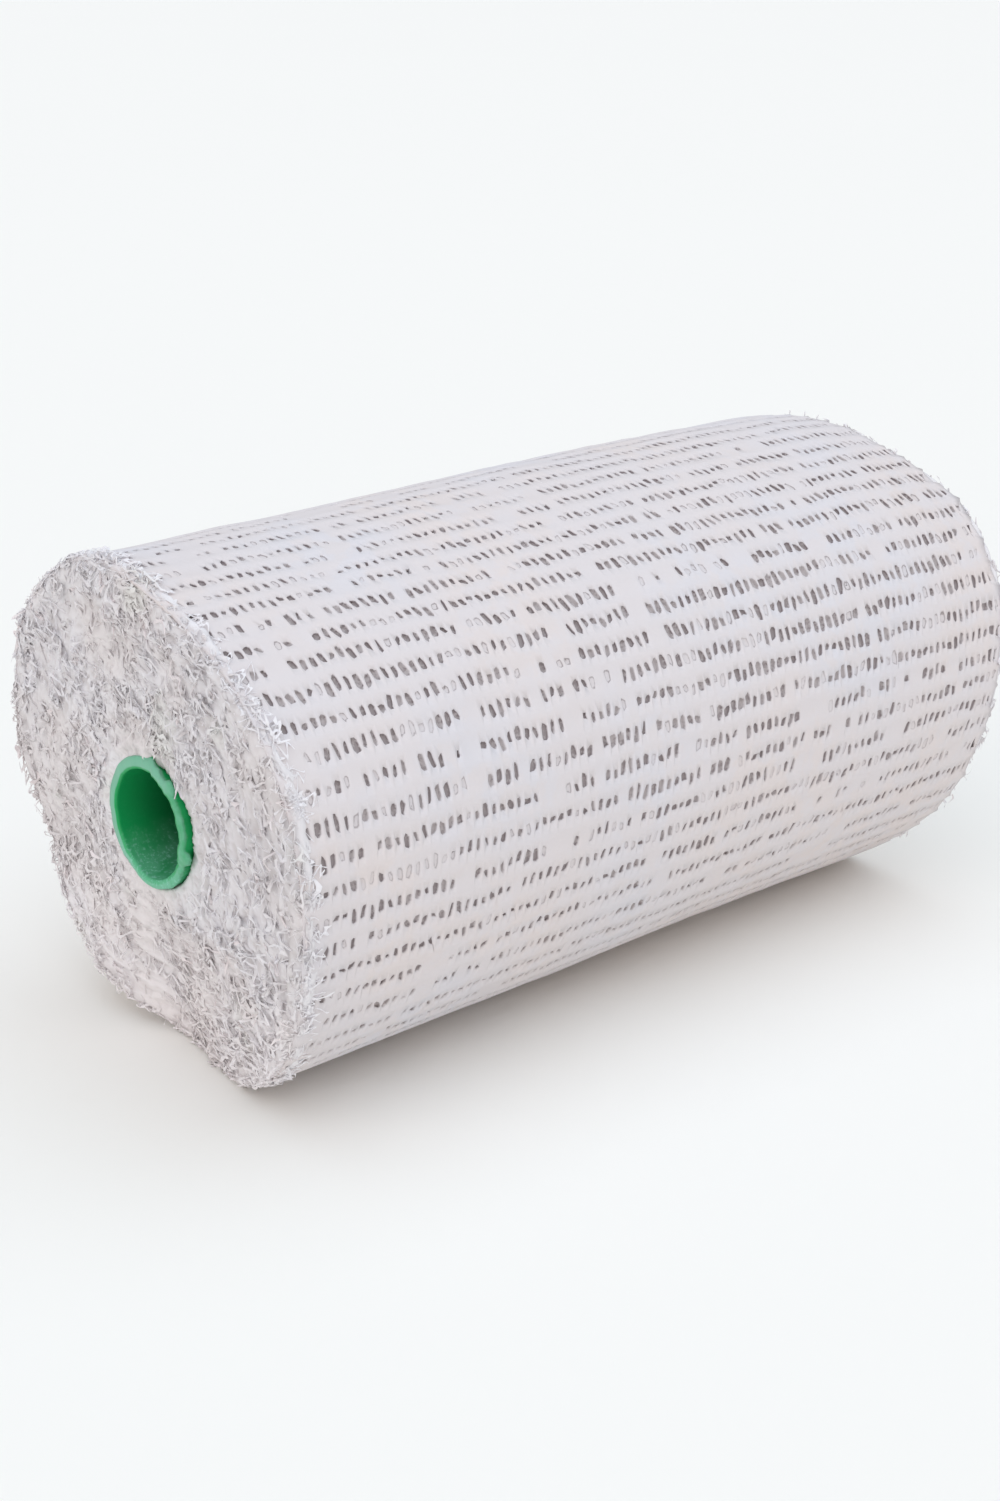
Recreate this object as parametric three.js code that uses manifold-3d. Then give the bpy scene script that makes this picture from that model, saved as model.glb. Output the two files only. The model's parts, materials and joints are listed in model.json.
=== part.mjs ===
// A roll of plaster bandage lying on its side. A strip of plaster-coated gauze is wound on a green
// plastic tube, and its cut edges fray into a mat of short stiff threads at both ends.
// Millimetres, +Z up. X runs along the roll, with the open tube mouth and the shaggier mat at -X.
// The origin is under the middle of the roll, on the surface that it rests on.
import * as THREE from 'three';
import { mergeVertices } from 'three/addons/utils/BufferGeometryUtils.js';
import { ParametricGeometry } from 'three/addons/geometries/ParametricGeometry.js';
import Module from 'manifold-3d';

const wasm = await Module();
wasm.setup();

// Driving dimensions
const CLOTH_WIDTH = 100;
const ROLL_RADIUS = 28.25;
const LAYER = 0.52;
const FLAT_WIDTH = 11;
const TUBE_RADIUS = 6.75;
const TUBE_WALL = 0.95;
const TUBE_BEVEL = 0.2;
const CLEARANCE = 0.3;

// The gauze has rows of holes along the roll. Its ribs between them stand up a little, and its cut
// edge steps in and out with them.
const ROWS = 60;
const RIB_HEIGHT = 0.12;
const EDGE_SCALLOP = 0.45;
const CLOTH_END_ANGLE = 24;

// The mat of frayed threads: how thick it is on the end face, how much thinner at the tube, and how
// it wraps the near rim in a lip that lies in a shallow recess of the roll.
const NEAR_MAT = 1.5;
const FAR_MAT = 0.8;
const MAT_AT_TUBE = 0.7;
const RIM_ROUND = 2.2;
const LIP_RECESS = 1;
const LIP_LENGTH = 4.2;
const GROUND_GAP = 0.3;
const END_DISH = 1.8;

const AXIS_HEIGHT = Math.sqrt(ROLL_RADIUS ** 2 - (FLAT_WIDTH / 2) ** 2);
const BORE_RADIUS = TUBE_RADIUS + CLEARANCE;

// The cloth's two edges before they wander. The far rim wanders out more, so the whole roll stands
// a little towards the near end to keep the origin under its middle.
const BALANCE = 0.75;
const NEAR_EDGE = -CLOTH_WIDTH / 2 - BALANCE;
const FAR_EDGE = CLOTH_WIDTH / 2 - BALANCE;

// How the winding wanders, in mm, by the angle round the roll: 0 faces back (+Y), 90 up, 180 front
// (-Y) and 270 the ground. nearOut and farOut push that end's rim out along the axis. nearSwell and
// farSwell push the outer turn out at that end.
const WINDING = [
  { angle: 0, nearOut: -0.2, farOut: -1.4, nearSwell: 0.0, farSwell: 0.0 },
  { angle: 30, nearOut: 1.0, farOut: -1.8, nearSwell: 0.0, farSwell: 0.0 },
  { angle: 60, nearOut: 1.9, farOut: -2.0, nearSwell: -0.1, farSwell: 0.0 },
  { angle: 90, nearOut: 2.3, farOut: -1.8, nearSwell: -0.4, farSwell: 0.0 },
  { angle: 115, nearOut: 1.5, farOut: -0.5, nearSwell: -0.3, farSwell: 0.0 },
  { angle: 135, nearOut: 0.2, farOut: 2.6, nearSwell: 0.0, farSwell: 0.0 },
  { angle: 155, nearOut: -0.6, farOut: 2.5, nearSwell: 0.0, farSwell: 0.0 },
  { angle: 175, nearOut: -0.5, farOut: 0.8, nearSwell: 0.0, farSwell: 0.0 },
  { angle: 195, nearOut: -0.3, farOut: -0.7, nearSwell: 0.2, farSwell: 0.0 },
  { angle: 220, nearOut: -0.6, farOut: -1.8, nearSwell: 0.6, farSwell: 0.0 },
  { angle: 245, nearOut: -1.5, farOut: -2.0, nearSwell: 0.7, farSwell: 0.0 },
  { angle: 270, nearOut: -2.8, farOut: -1.9, nearSwell: 0.0, farSwell: 0.0 },
  { angle: 300, nearOut: -2.9, farOut: -1.4, nearSwell: -0.7, farSwell: 0.0 },
  { angle: 330, nearOut: -1.6, farOut: -1.3, nearSwell: -0.5, farSwell: 0.0 },
];

const { degToRad, lerp, smoothstep, seededRandom } = THREE.MathUtils;

const wanderNames = ['nearOut', 'farOut', 'nearSwell', 'farSwell'];
const wanderRows = [-360, 0, 360].flatMap((turn) => (
  WINDING.map((row) => ({ ...row, angle: row.angle + turn }))
));
const wanderCurve = new THREE.CubicInterpolant(
  wanderRows.map((row) => row.angle),
  wanderRows.flatMap((row) => wanderNames.map((name) => row[name])),
  wanderNames.length,
);

function wander(angle) {
  const [nearOut, farOut, nearSwell, farSwell] = wanderCurve.evaluate(angle % 360);
  return { nearOut, farOut, nearSwell, farSwell };
}

// A radius cut short where it would reach closer to the ground than the given height.
function aboveGround(angle, radius, height) {
  const down = -Math.sin(degToRad(angle));
  return down > 0.1 ? Math.min(radius, (AXIS_HEIGHT - height) / down) : radius;
}

// The outer turn, without its ribs. It winds in by one layer from the cloth's end round to that
// end again, and the roll's own weight presses it flat on the ground.
function turnRadius(angle, x) {
  const { nearSwell, farSwell } = wander(angle);
  const wound = (((angle - CLOTH_END_ANGLE) / 360) % 1 + 1) % 1;
  const spiral = LAYER * (0.5 - wound);
  const swell = nearSwell * smoothstep(-x, -0.2 * CLOTH_WIDTH, 0.5 * CLOTH_WIDTH)
    + farSwell * smoothstep(x, -0.2 * CLOTH_WIDTH, 0.5 * CLOTH_WIDTH);
  return aboveGround(angle, ROLL_RADIUS + spiral + swell, 0);
}

function ribWave(angle) {
  return Math.cos(degToRad(ROWS * angle));
}

// Where the wound cloth ends: its face beside the tube, and its rim, which follows the wander.
function nearEnd(angle) {
  const rim = NEAR_EDGE - wander(angle).nearOut + NEAR_MAT + CLEARANCE;
  return { rim, bore: NEAR_EDGE + END_DISH, radius: turnRadius(angle, rim) };
}

function farEnd(angle) {
  const rim = FAR_EDGE + wander(angle).farOut - CLEARANCE;
  return { rim, bore: FAR_EDGE - END_DISH, radius: turnRadius(angle, rim) };
}

// A closed ring round the roll's axis. loopAt(angle) gives its section there as a closed loop of
// points, each with x along the axis and r out from it.
function ringAround(segments, loopAt) {
  const loops = Array.from({ length: segments }, (_, i) => loopAt(360 * i / segments));
  const size = loops[0].length;
  const ring = new ParametricGeometry((u, v, target) => {
    const i = Math.round(u * segments) % segments;
    const { x, r } = loops[i][Math.round(v * size) % size];
    const angle = degToRad(360 * i / segments);
    target.set(x, r * Math.cos(angle), AXIS_HEIGHT + r * Math.sin(angle));
  }, segments, size);
  return closedSurface(ring);
}

// One surface with shared corners and its faces pointing out.
function closedSurface(geometry) {
  geometry.deleteAttribute('normal');
  geometry.deleteAttribute('uv');
  const surface = mergeVertices(geometry, 1e-4);
  const corners = [new THREE.Vector3(), new THREE.Vector3(), new THREE.Vector3()];
  const { index, attributes } = surface;
  let volume = 0;
  for (let i = 0; i < index.count; i += 3) {
    corners.forEach((corner, k) => corner.fromBufferAttribute(attributes.position, index.getX(i + k)));
    volume += corners[0].dot(corners[1].cross(corners[2]));
  }
  if (volume < 0) {
    index.array.reverse();
  }
  surface.computeVertexNormals();
  return surface;
}

function toSolid(geometry) {
  return new wasm.Manifold(new wasm.Mesh({
    numProp: 3,
    vertProperties: geometry.attributes.position.array,
    triVerts: Uint32Array.from(geometry.index.array),
  }));
}

function fromSolid(solid) {
  const { vertProperties, triVerts } = solid.getMesh();
  const geometry = new THREE.BufferGeometry();
  geometry.setAttribute('position', new THREE.BufferAttribute(vertProperties, 3));
  geometry.setIndex(new THREE.BufferAttribute(triVerts, 1));
  geometry.computeVertexNormals();
  return geometry;
}

// The wound cloth: from the bore up the near face, round the soft near rim and over the recess for
// the lip, along the ribbed outer turn and back down the far face.
function rollSection(angle) {
  const rib = 0.5 * RIB_HEIGHT * ribWave(angle);
  const near = nearEnd(angle);
  const far = farEnd(angle);
  const farRim = far.rim + 0.5 * EDGE_SCALLOP * ribWave(angle);
  const recessed = near.radius - LIP_RECESS;
  const ribbed = (x) => ({ x, r: aboveGround(angle, turnRadius(angle, x) + rib, 0) });
  return [
    { x: near.bore, r: BORE_RADIUS },
    { x: near.rim, r: recessed - RIM_ROUND },
    { x: near.rim + 0.3 * RIM_ROUND, r: recessed - 0.3 * RIM_ROUND },
    { x: near.rim + RIM_ROUND, r: recessed },
    ribbed(near.rim + LIP_LENGTH + 1),
    ribbed(0),
    ribbed(far.rim - 1),
    { x: farRim, r: far.radius - 0.9 },
    { x: far.bore, r: BORE_RADIUS },
  ];
}

// Uneven lumps over a mat, between -1 and 1.
function lumps(angle, radius) {
  const turn = degToRad(angle);
  return 0.4 * Math.sin(5 * turn + 0.45 * radius)
    + 0.35 * Math.sin(11 * turn - 0.8 * radius + 1.7)
    + 0.25 * Math.sin(17 * turn + 1.3 * radius + 0.6);
}

// The end face of the roll at a given radius, between its bore and its rim.
function faceX(end, radius) {
  const share = (radius - BORE_RADIUS) / (end.radius - RIM_ROUND - BORE_RADIUS);
  return lerp(end.bore, end.rim, THREE.MathUtils.clamp(share, 0, 1));
}

const matInside = TUBE_RADIUS + 1.5 * CLEARANCE;

// The near mat: its hidden side follows the roll's end at the clearance, out to the end of the lip,
// and its outer side comes back over the rim and down the face in lumps.
function nearMatSection(angle) {
  const end = nearEnd(angle);
  const recessed = end.radius - LIP_RECESS + CLEARANCE;
  const pressed = smoothstep(-Math.sin(degToRad(angle)), 0.85, 0.97);
  const lip = lerp(LIP_LENGTH + 0.7 * lumps(angle, 31), RIM_ROUND + 0.5, pressed);
  const lipRise = LIP_RECESS * (lip - RIM_ROUND) / (LIP_LENGTH + 1 - RIM_ROUND);
  const outer = (x, r) => ({ x: end.rim + x, r: aboveGround(angle, r, GROUND_GAP) });
  const face = (radius, thickness) => ({
    x: faceX(end, radius) - CLEARANCE - thickness * (1 + 0.5 * lumps(angle, radius)),
    r: radius + 0.3 * lumps(angle + 40, radius),
  });
  return [
    { x: end.bore - CLEARANCE, r: matInside },
    { x: end.rim - CLEARANCE, r: recessed - RIM_ROUND - CLEARANCE },
    { x: end.rim + 0.3 * RIM_ROUND - 0.7 * CLEARANCE, r: recessed - 0.3 * RIM_ROUND },
    { x: end.rim + RIM_ROUND, r: recessed + 0.05 },
    { x: end.rim + lip, r: recessed + lipRise + 0.08 },
    outer(lip + 0.1, recessed + lipRise + 0.35),
    outer(RIM_ROUND, end.radius + 0.2 + 0.25 * lumps(angle, 29)),
    outer(-0.3, end.radius - 0.6 + 0.4 * lumps(angle, 27)),
    outer(-NEAR_MAT + 0.3 * lumps(angle, 40), end.radius - 2.4 + 0.5 * lumps(angle, 25)),
    face(22, NEAR_MAT),
    face(17, NEAR_MAT),
    face(12, NEAR_MAT),
    face(8.6, MAT_AT_TUBE + 0.2),
    { x: end.bore - CLEARANCE - MAT_AT_TUBE, r: matInside + 0.2 },
  ];
}

// The far mat is thinner, lies on the face only and stays inside the scalloped rim.
function farMatSection(angle) {
  const end = farEnd(angle);
  const gap = CLEARANCE + 0.5 * EDGE_SCALLOP;
  const rimRadius = aboveGround(angle, end.radius, 0.6);
  const face = (radius) => ({
    x: faceX(end, radius) + gap + FAR_MAT * (1 + 0.35 * lumps(angle, radius)),
    r: radius + 0.3 * lumps(angle + 40, radius),
  });
  return [
    { x: end.bore + gap, r: matInside },
    { x: end.rim + gap, r: end.radius - RIM_ROUND },
    { x: end.rim + gap, r: rimRadius - 0.9 },
    { x: end.rim + gap + 0.5, r: rimRadius - 0.8 + 0.2 * lumps(angle, 28) },
    { x: end.rim + gap + FAR_MAT, r: rimRadius - 2 },
    face(21),
    face(15),
    face(10.5),
    { x: end.bore + gap + 0.8 * FAR_MAT, r: matInside + 0.2 },
  ];
}

// One three-sided lock of stuck threads: a spindle with a thin root and a bent tip. Its root is at
// the given place in the mat, and it leans along the given direction.
function lock(place, direction, length, thickness, bend) {
  const outline = [[0, 0], [0.26, 0], [0.5, 0.45], [0, 1]];
  const geometry = new THREE.LatheGeometry(
    outline.map(([wide, along]) => new THREE.Vector2(wide * thickness, along * length)),
    3,
  );
  const { position } = geometry.attributes;
  for (let i = 0; i < position.count; i++) {
    const along = position.getY(i) / length;
    position.setX(i, position.getX(i) + bend * length * along ** 2);
  }
  const lean = new THREE.Quaternion().setFromUnitVectors(new THREE.Vector3(0, 1, 0), direction);
  geometry.applyQuaternion(lean);
  geometry.translate(place.x, place.y, place.z);
  return closedSurface(geometry);
}

// Locks round one end. side is -1 at the near end and 1 at the far end. Those at the rim are rooted
// rimIn below the roll's rim and rimOut past it, and splay away from the roll, but not down to the
// ground. The others lean every way on the face, in a sunflower's even scatter.
function locksOn(side, end, { rimLocks, faceLocks, mat, rimIn, rimOut, length, thickness }) {
  const gap = side < 0 ? CLEARANCE : CLEARANCE + 0.5 * EDGE_SCALLOP;
  const count = rimLocks + faceLocks;
  return Array.from({ length: count }, (_, i) => {
    const atRim = i < rimLocks;
    const share = atRim ? i / rimLocks : (i - rimLocks + 0.5) / faceLocks;
    const angle = (atRim ? 360 * share + 2 * seededRandom() : 137.508 * i) % 360;
    const edge = end(angle);
    const radius = atRim
      ? aboveGround(angle, edge.radius, 0.5) - rimIn
      : Math.sqrt(lerp(11 ** 2, 24 ** 2, share));
    const turn = degToRad(angle);
    const outward = new THREE.Vector3(0, Math.cos(turn), Math.sin(turn));
    const around = new THREE.Vector3(0, -Math.sin(turn), Math.cos(turn));
    const place = outward.clone().multiplyScalar(radius);
    place.x = atRim ? edge.rim + side * rimOut : faceX(edge, radius) + side * (gap + 0.4 * mat);
    place.z += AXIS_HEIGHT;
    const overGround = smoothstep(-outward.z, 0.6, 0.9);
    const splay = atRim
      ? lerp(0.2 + 1.2 * seededRandom(), 0, overGround)
      : 2 * (seededRandom() - 0.5);
    const direction = new THREE.Vector3((atRim ? 1 : 0.6) * side, 0, 0)
      .addScaledVector(outward, splay)
      .addScaledVector(around, 2.6 * (seededRandom() - 0.4))
      .normalize();
    const reach = length * (0.75 + 0.5 * seededRandom());
    return lock(place, direction, reach, thickness, 0.5 * (seededRandom() - 0.5));
  });
}

function frayedMat(section, segments, locks) {
  const roots = toSolid(ringAround(segments, section));
  return fromSolid(locks.reduce((mat, piece) => mat.add(toSolid(piece)), roots));
}

// The tube, cut a little unevenly at its mouth.
function tubeSection(angle) {
  const mouth = NEAR_EDGE + 0.15 * lumps(angle, 3);
  const tail = FAR_EDGE - 0.15;
  const inside = TUBE_RADIUS - TUBE_WALL;
  return [
    { x: mouth + TUBE_BEVEL, r: inside },
    { x: mouth, r: inside + TUBE_BEVEL },
    { x: mouth, r: TUBE_RADIUS - TUBE_BEVEL },
    { x: mouth + TUBE_BEVEL, r: TUBE_RADIUS },
    { x: tail - TUBE_BEVEL, r: TUBE_RADIUS },
    { x: tail, r: TUBE_RADIUS - TUBE_BEVEL },
    { x: tail, r: inside + TUBE_BEVEL },
    { x: tail - TUBE_BEVEL, r: inside },
  ];
}

const gauze = { color: 0xdbd9de, roughness: 0.95, metalness: 0 };
const threads = { color: 0xcfcbcc, roughness: 1, metalness: 0 };
const plastic = { color: 0x1c8a55, roughness: 0.45, metalness: 0 };

function piece(name, geometry, look) {
  const mesh = new THREE.Mesh(geometry, new THREE.MeshStandardMaterial(look));
  mesh.name = name;
  return mesh;
}

seededRandom(8);
const nearLocks = locksOn(-1, nearEnd, {
  rimLocks: 72, faceLocks: 72, mat: NEAR_MAT, rimIn: 2, rimOut: 0.4, length: 3, thickness: 1.4,
});
const farLocks = locksOn(1, farEnd, {
  rimLocks: 48, faceLocks: 24, mat: FAR_MAT, rimIn: 1.5, rimOut: 0.9, length: 1.8, thickness: 0.8,
});

const group = new THREE.Group();
group.add(
  piece('core_tube', ringAround(40, tubeSection), plastic),
  piece('bandage_roll', ringAround(240, rollSection), gauze),
  piece('near_fringe', frayedMat(nearMatSection, 120, nearLocks), threads),
  piece('far_fringe', frayedMat(farMatSection, 60, farLocks), threads),
);

export default group;
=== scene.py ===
# A roll of plaster bandage, lying on its side with the open end of its green tube towards the camera.
# X runs along the roll, Z is up, and the roll rests on z = 0. Sizes are in mm and angles in degrees.
import itertools
import json
import math
import bmesh
import bpy
import numpy as np
from mathutils import Matrix, Vector

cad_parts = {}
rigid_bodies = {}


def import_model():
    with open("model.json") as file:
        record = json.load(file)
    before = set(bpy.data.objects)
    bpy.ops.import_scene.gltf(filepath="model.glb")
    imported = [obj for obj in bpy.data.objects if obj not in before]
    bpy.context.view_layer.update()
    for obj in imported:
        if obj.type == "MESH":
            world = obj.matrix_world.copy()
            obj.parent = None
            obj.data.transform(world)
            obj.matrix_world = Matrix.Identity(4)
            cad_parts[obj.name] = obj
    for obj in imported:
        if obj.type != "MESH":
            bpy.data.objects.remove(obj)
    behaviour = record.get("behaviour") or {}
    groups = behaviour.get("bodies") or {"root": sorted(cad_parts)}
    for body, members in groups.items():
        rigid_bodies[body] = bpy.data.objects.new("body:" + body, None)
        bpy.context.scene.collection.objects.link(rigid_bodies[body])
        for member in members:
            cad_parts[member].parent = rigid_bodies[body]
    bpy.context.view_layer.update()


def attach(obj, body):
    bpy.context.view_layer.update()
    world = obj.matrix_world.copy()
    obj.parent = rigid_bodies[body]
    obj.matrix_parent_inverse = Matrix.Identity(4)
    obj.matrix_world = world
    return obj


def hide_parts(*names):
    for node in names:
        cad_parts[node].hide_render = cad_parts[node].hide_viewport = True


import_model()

mm = 0.001
scene = bpy.context.scene


# Camera, at the place that the photograph was taken from

viewer = {"azimuth": 40.39, "elevation": 20.66, "distance": 256.6, "right": -2.43, "up": -3.93,
          "target": (-0.75, 0, 27.709), "lens": 53.8, "sensor": 36, "clip": (0.01, 50)}


def placeCamera():
    turn, tip = math.radians(viewer["azimuth"]), math.radians(viewer["elevation"])
    forward = Vector((math.sin(turn) * math.cos(tip), math.cos(turn) * math.cos(tip), -math.sin(tip)))
    right = Vector((math.cos(turn), -math.sin(turn), 0))
    up = right.cross(forward)
    place = Vector(viewer["target"]) - forward * viewer["distance"]
    place += right * viewer["right"] + up * viewer["up"]
    camera = bpy.data.objects.new("camera", bpy.data.cameras.new("camera"))
    camera.data.lens, camera.data.sensor_width = viewer["lens"], viewer["sensor"]
    camera.data.clip_start, camera.data.clip_end = viewer["clip"]
    turned = Matrix((right, up, -forward)).transposed().to_4x4()
    camera.matrix_world = Matrix.Translation(place * mm) @ turned
    scene.collection.objects.link(camera)
    scene.camera = camera


placeCamera()
print("camera placed")


# Nodes: a Link is one output socket, so that shader and geometry sums are written as plain sums

class Link:
    def __init__(self, maker, socket):
        self.maker, self.socket = maker, socket

    def out(self, name):
        return Link(self.maker, self.socket.node.outputs[name])

    def sum(self, operation, first, second=0.0):
        return self.maker.add("ShaderNodeMath", {"operation": operation}, {0: first, 1: second})

    def over(self, other):
        return self.sum("GREATER_THAN", self, other)

    def sine(self):
        return self.sum("SINE", self)


def giveSign(sign, operation):  # a sign of Python that makes a maths node
    setattr(Link, "__%s__" % sign, lambda self, other: self.sum(operation, self, other))
    setattr(Link, "__r%s__" % sign, lambda self, other: self.sum(operation, other, self))


for sign, operation in {"add": "ADD", "sub": "SUBTRACT", "mul": "MULTIPLY", "truediv": "DIVIDE"}.items():
    giveSign(sign, operation)


class NodeMaker:
    def __init__(self, tree):
        self.tree = tree

    def add(self, kind, settings=None, sockets=None, out=0):  # settings first, then sockets
        node = self.tree.nodes.new(kind)
        for name, value in (settings or {}).items():
            setattr(node, name, value)
        for name, value in (sockets or {}).items():
            self.feed(node.inputs[name], value)
        return Link(self, node.outputs[out])

    def feed(self, socket, value):
        if isinstance(value, Link):
            self.tree.links.new(value.socket, socket)
        else:
            socket.default_value = value

    def vector(self, operation, first, second=(0, 0, 0), out=0):
        return self.add("ShaderNodeVectorMath", {"operation": operation}, {0: first, 1: second}, out)

    def scaled(self, vector, factor):
        return self.add("ShaderNodeVectorMath", {"operation": "SCALE"}, {0: vector, "Scale": factor})

    def combined(self, x, y, z=0.0):
        return self.add("ShaderNodeCombineXYZ", None, {0: x, 1: y, 2: z})

    def split(self, vector, out="X"):
        return self.add("ShaderNodeSeparateXYZ", None, {0: vector}, out)

    def noise(self, place, scale, detail=2.0, rough=0.5, out="Fac"):
        return self.add("ShaderNodeTexNoise", None,
                        {"Vector": place, "Scale": scale, "Detail": detail, "Roughness": rough}, out)

    def shake(self, place, scale):  # noise as a vector, to both sides of nought
        return self.vector("SUBTRACT", self.noise(place, scale, 1.0, out="Color"), (0.5, 0.5, 0.5))

    def mixed(self, factor, first, second):
        return self.add("ShaderNodeMix", {"data_type": "RGBA"}, {0: factor, 6: first, 7: second}, 2)

    def ramped(self, value, low, high):  # smoothly from 0 at low to 1 at high
        return self.add("ShaderNodeMapRange", {"interpolation_type": "SMOOTHSTEP"},
                        {0: value, 1: low, 2: high})

    def random(self, low, high, seed):
        return self.add("FunctionNodeRandomValue", {"data_type": "FLOAT"}, {2: low, 3: high, 8: seed}, 1)

    def between(self, low, high, seed):  # at random between two inputs
        return self.add("ShaderNodeMapRange", None, {0: self.random(0, 1, seed), 3: low, 4: high})

    def painted(self, name):  # a mesh attribute, in a shader
        return self.add("ShaderNodeAttribute", {"attribute_name": name}, out="Fac")

    def named(self, name, kind="FLOAT"):  # a mesh attribute, in a shape tree
        return self.add("GeometryNodeInputNamedAttribute", {"data_type": kind}, {"Name": name})

    def stored(self, copies, values):  # a value for each copy
        for name, value in values.items():
            kind = "FLOAT_VECTOR" if value.socket.type == "VECTOR" else "FLOAT"
            copies = self.add("GeometryNodeStoreNamedAttribute", {"data_type": kind, "domain": "INSTANCE"},
                              {"Geometry": copies, "Name": name, "Value": value})
        return copies

    def moved(self, geometry, offset):
        return self.add("GeometryNodeSetPosition", None, {"Geometry": geometry, "Offset": offset})

    def realized(self, geometry):
        return self.add("GeometryNodeRealizeInstances", None, {"Geometry": geometry})

    def copied(self, points, shapes, pick, scale, turn=(0, 0, 0)):  # a shape of the collection on each point
        shapes = self.add("GeometryNodeCollectionInfo", None,
                          {"Collection": shapes, "Separate Children": True, "Reset Children": True})
        return self.add("GeometryNodeInstanceOnPoints", None,
                        {"Points": points, "Instance": shapes, "Pick Instance": True, "Instance Index": pick,
                         "Rotation": turn, "Scale": scale})


class ShapeTree:  # a Geometry Nodes tree with one named input for each of its values
    def __init__(self, name, values):
        self.group = bpy.data.node_groups.new(name, "GeometryNodeTree")
        face = self.group.interface
        face.new_socket("Geometry", in_out="INPUT", socket_type="NodeSocketGeometry")
        face.new_socket("Geometry", in_out="OUTPUT", socket_type="NodeSocketGeometry")
        self.values, self.sockets = values, {}
        for label, value in values.items():
            kind = {bool: "Bool", int: "Int", float: "Float"}.get(type(value), type(value).__name__)
            made = face.new_socket(label, in_out="INPUT", socket_type="NodeSocket" + kind)
            self.sockets[label] = made.identifier
        self.nodes = NodeMaker(self.group)
        self.start = self.group.nodes.new("NodeGroupInput")
        self.end = self.group.nodes.new("NodeGroupOutput")

    def read(self, label):
        return Link(self.nodes, self.start.outputs[label])

    def finish(self, geometry):
        done = self.nodes.add("GeometryNodeSetMaterial", None,
                              {"Geometry": geometry, "Material": self.read("Finish")})
        self.group.links.new(done.socket, self.end.inputs[0])

    def grow(self, base, name, **changes):  # a plain mesh of the tree on a base object
        values = {**self.values, **changes}
        modifier = base.modifiers.new(name, "NODES")
        modifier.node_group = self.group
        for label, value in values.items():
            modifier[self.sockets[label]] = value
        bpy.context.view_layer.update()
        ready = base.evaluated_get(bpy.context.evaluated_depsgraph_get())
        mesh = bpy.data.meshes.new_from_object(ready)
        base.modifiers.remove(modifier)
        mesh.name = name
        mesh.materials.clear()  # one finish, also for faces added later
        mesh.materials.append(values["Finish"])
        mesh.polygons.foreach_set("material_index", np.zeros(len(mesh.polygons), np.int32))
        return mesh


# Small tools for numbers and meshes

hashing = {"axes": (374761393, 668265263, 2147483647), "seed": 144665, "mix": 1274126177, "half": 32767.5}


def softNoise(points, seed=0):  # smooth, from -1 to 1, one wave a unit
    cell = np.floor(points).astype(np.int64)
    part = points - cell
    part = part * part * (3 - 2 * part)
    total = np.zeros(len(points))
    for corner in itertools.product((0, 1), repeat=3):
        mixed = (cell + corner) @ np.array(hashing["axes"]) + seed * hashing["seed"]
        mixed = (mixed ^ (mixed >> 13)) * hashing["mix"]
        mixed = (mixed ^ (mixed >> 16)) & 0xffff
        weight = np.prod(np.where(corner, part, 1 - part), axis=1)
        total += weight * (mixed / hashing["half"] - 1)
    return total


def noiseOf(seed, *places):  # soft noise over one, two or three measures
    places = np.broadcast_arrays(*places, *[0.0] * (3 - len(places)))
    return softNoise(np.stack(places, -1).reshape(-1, 3), seed).reshape(places[0].shape)


def ease(value, low, high):
    share = np.clip((value - low) / (high - low), 0, 1)
    return share * share * (3 - 2 * share)


def bell(value, middle, width):  # 1 in the middle, fading to both sides
    return np.exp(-((value - middle) / width) ** 2)


def evenAngles(count):
    return np.arange(count) * 360 / count


def newObject(name, mesh, hidden=False):
    made = bpy.data.objects.new(name, mesh)
    scene.collection.objects.link(made)
    made.hide_render = hidden
    return made


def meshOf(name, points, faces):  # points in mm
    mesh = bpy.data.meshes.new(name)
    mesh.from_pydata((np.asarray(points, float) * mm).tolist(), [], [tuple(map(int, face)) for face in faces])
    mesh.update()
    return mesh


def giveNumbers(mesh, name, values):
    attribute = mesh.attributes.get(name) or mesh.attributes.new(name, "FLOAT", "POINT")
    attribute.data.foreach_set("value", np.asarray(values, np.float32))


def numbersOf(mesh, name):
    values = np.zeros(len(mesh.vertices), np.float32)
    mesh.attributes[name].data.foreach_get("value", values)
    return values.astype(float)


def pointsOf(mesh):  # points in mm
    points = np.zeros(len(mesh.vertices) * 3)
    mesh.vertices.foreach_get("co", points)
    return points.reshape(-1, 3) / mm


def setPoints(mesh, points):
    mesh.vertices.foreach_set("co", (np.asarray(points) * mm).ravel())
    mesh.update()


def smoothed(mesh):
    mesh.polygons.foreach_set("use_smooth", np.ones(len(mesh.polygons), bool))
    mesh.update()
    return mesh


def faceOut(mesh):  # doubles merged, then faces turned out
    work = bmesh.new()
    work.from_mesh(mesh)
    bmesh.ops.remove_doubles(work, verts=work.verts, dist=0.002 * mm)
    bmesh.ops.dissolve_degenerate(work, edges=work.edges, dist=0.0005 * mm)
    bmesh.ops.recalc_face_normals(work, faces=work.faces)
    work.to_mesh(mesh)
    work.free()
    mesh.update()
    return mesh


def aroundAxis(x, radius, angle):  # from the roll's own measures to points
    turn = np.radians(angle)
    return np.stack([x + 0 * turn, radius * np.cos(turn), axisHeight + radius * np.sin(turn)], axis=-1)


def polarOf(mesh):  # points, how far off the axis, and their angle
    points = pointsOf(mesh)
    y, z = points[:, 1], points[:, 2] - axisHeight
    return points, np.hypot(y, z), np.degrees(np.arctan2(z, y))


def gridFaces(rows, columns, closedRows=False, closedColumns=False):
    i, j = np.indices((rows - 1 + closedRows, columns - 1 + closedColumns))
    k, l = (i + 1) % rows, (j + 1) % columns
    return np.stack([i * columns + j, k * columns + j, k * columns + l, i * columns + l], -1).reshape(-1, 4)


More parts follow.
